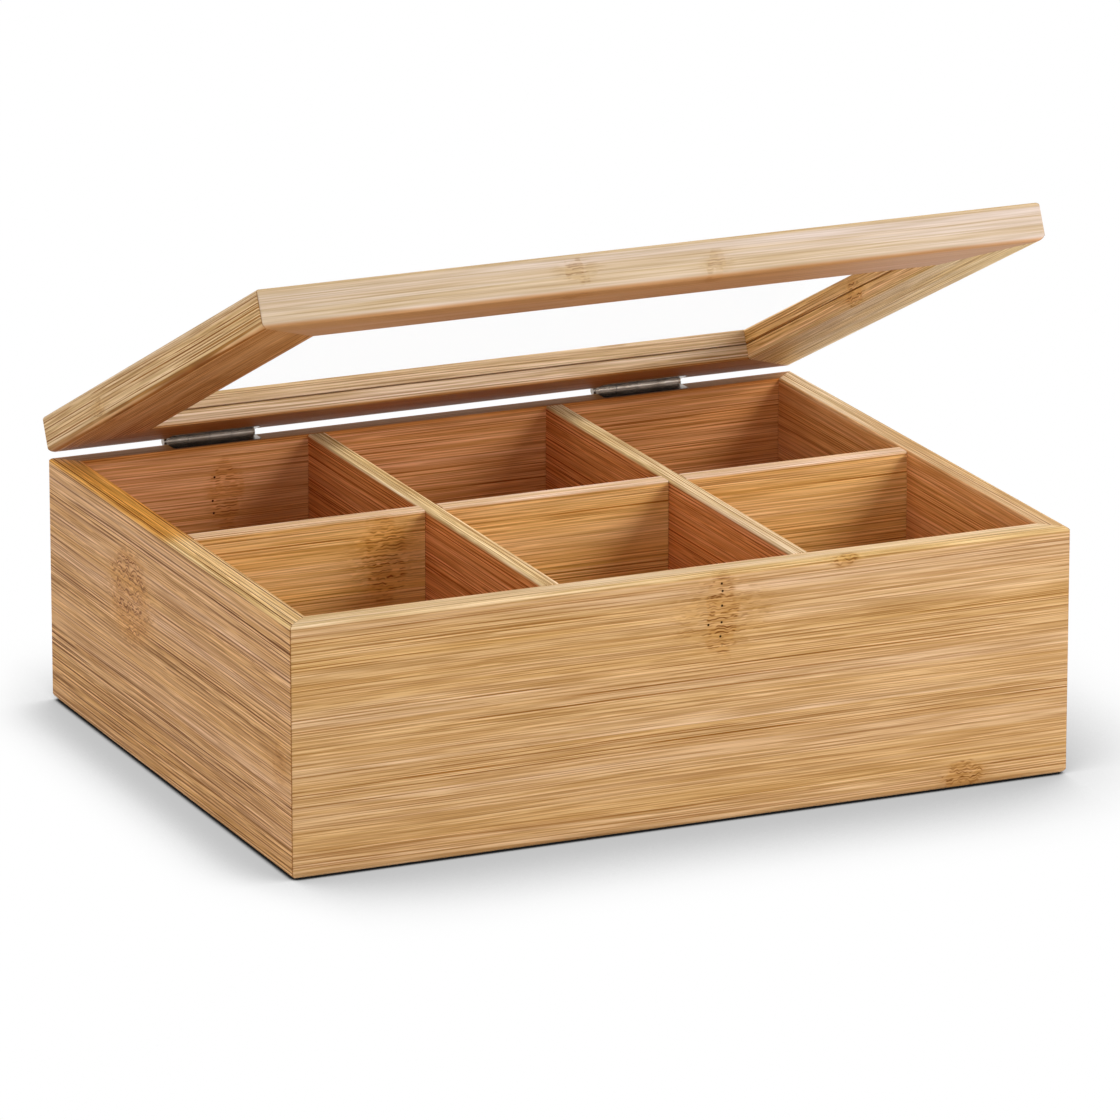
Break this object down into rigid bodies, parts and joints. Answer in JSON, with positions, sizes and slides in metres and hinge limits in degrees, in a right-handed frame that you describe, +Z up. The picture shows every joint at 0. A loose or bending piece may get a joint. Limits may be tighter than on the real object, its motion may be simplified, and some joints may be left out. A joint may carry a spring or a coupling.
{
  "type": "tea bag organizer box",
  "caption": "Shallow bamboo box with housed dividers that form equal cells, and a hinged frame lid with a clear window.",
  "frame": {"origin": "middle of the box's underside, at the level it stands on", "axes": "+X to the right along the front, +Y from front to back, +Z up; the lid stands open by 25.2 degrees"},
  "size_m": [0.217, 0.1721, 0.1477],
  "materials": {
    "bamboo_wall": "satin oil over laminated bamboo strip",
    "bamboo_divider": "satin oil over bamboo",
    "bamboo_bottom": "plain sanded bamboo",
    "bamboo_rail": "satin oil over bamboo strip",
    "clear_pane": "clear and polished",
    "hinge_steel": "nickel plated, slightly dulled",
    "screw_steel": "nickel plated"
  },
  "bodies": {
    "box": {"front_wall": "bamboo_wall", "back_wall": "bamboo_wall", "left_wall": "bamboo_wall", "right_wall": "bamboo_wall", "bottom_panel": "bamboo_bottom", "long_divider": "bamboo_divider", "left_cross_divider": "bamboo_divider", "right_cross_divider": "bamboo_divider", "left_hinge_box_leaf": "hinge_steel", "left_hinge_pin": "hinge_steel", "left_hinge_box_screws": "screw_steel", "right_hinge_box_leaf": "hinge_steel", "right_hinge_pin": "hinge_steel", "right_hinge_box_screws": "screw_steel"},
    "lid": {"lid_front_rail": "bamboo_rail", "lid_back_rail": "bamboo_rail", "lid_left_rail": "bamboo_rail", "lid_right_rail": "bamboo_rail", "window_pane": "clear_pane", "left_hinge_lid_leaf": "hinge_steel", "left_hinge_lid_screws": "screw_steel", "right_hinge_lid_leaf": "hinge_steel", "right_hinge_lid_screws": "screw_steel"}
  },
  "joints": [
    {"name": "lid_hinge", "type": "hinge", "parent": "box", "child": "lid", "pos_m": [0, 0.0854, 0.0667], "axis": [-1, 0, 0], "range_deg": [-25.2, 154.8]}
  ]
}
